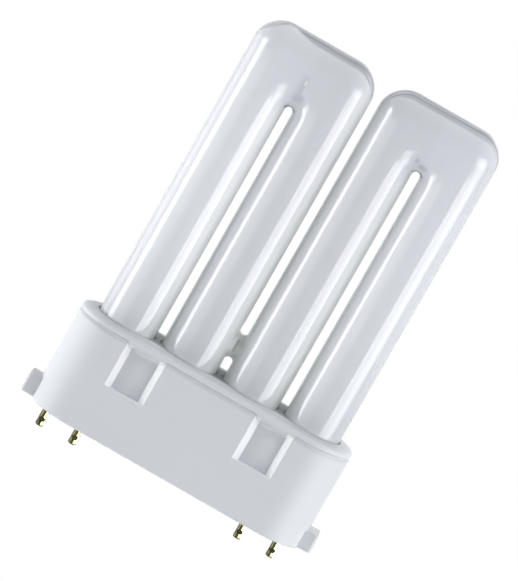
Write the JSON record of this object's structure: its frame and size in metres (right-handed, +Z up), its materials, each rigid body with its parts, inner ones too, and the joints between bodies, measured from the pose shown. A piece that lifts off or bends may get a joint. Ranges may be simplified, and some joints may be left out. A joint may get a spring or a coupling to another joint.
{
  "type": "compact fluorescent lamp",
  "caption": "Flat plug-in compact fluorescent lamp: parallel coated glass tubes joined by square-shouldered bends, on a white moulded cap with clip recesses, end lugs and brass pins.",
  "frame": {"origin": "middle of the cap's underside, the plane that seats on the lamp holder", "axes": "+Z up along the tubes, X along the row of tubes, -Y out of the front with the clip recesses"},
  "size_m": [0.0854, 0.023, 0.1242],
  "materials": {
    "tube_glass": "clear glass over white phosphor",
    "cap_plastic": "satin moulded",
    "pin_brass": "drawn",
    "lead_wire": "drawn",
    "tube_cement": "cured cement"
  },
  "bodies": {
    "root": {"discharge_tube": "tube_glass", "cap_cover": "cap_plastic", "cap_housing": "cap_plastic", "contact_pin_1": "pin_brass", "contact_pin_2": "pin_brass", "contact_pin_3": "pin_brass", "contact_pin_4": "pin_brass", "lead_wire_1": "lead_wire", "lead_wire_2": "lead_wire", "lead_wire_3": "lead_wire", "lead_wire_4": "lead_wire", "tube_cement_1": "tube_cement", "tube_cement_2": "tube_cement", "tube_cement_3": "tube_cement", "tube_cement_4": "tube_cement"}
  },
  "joints": []
}
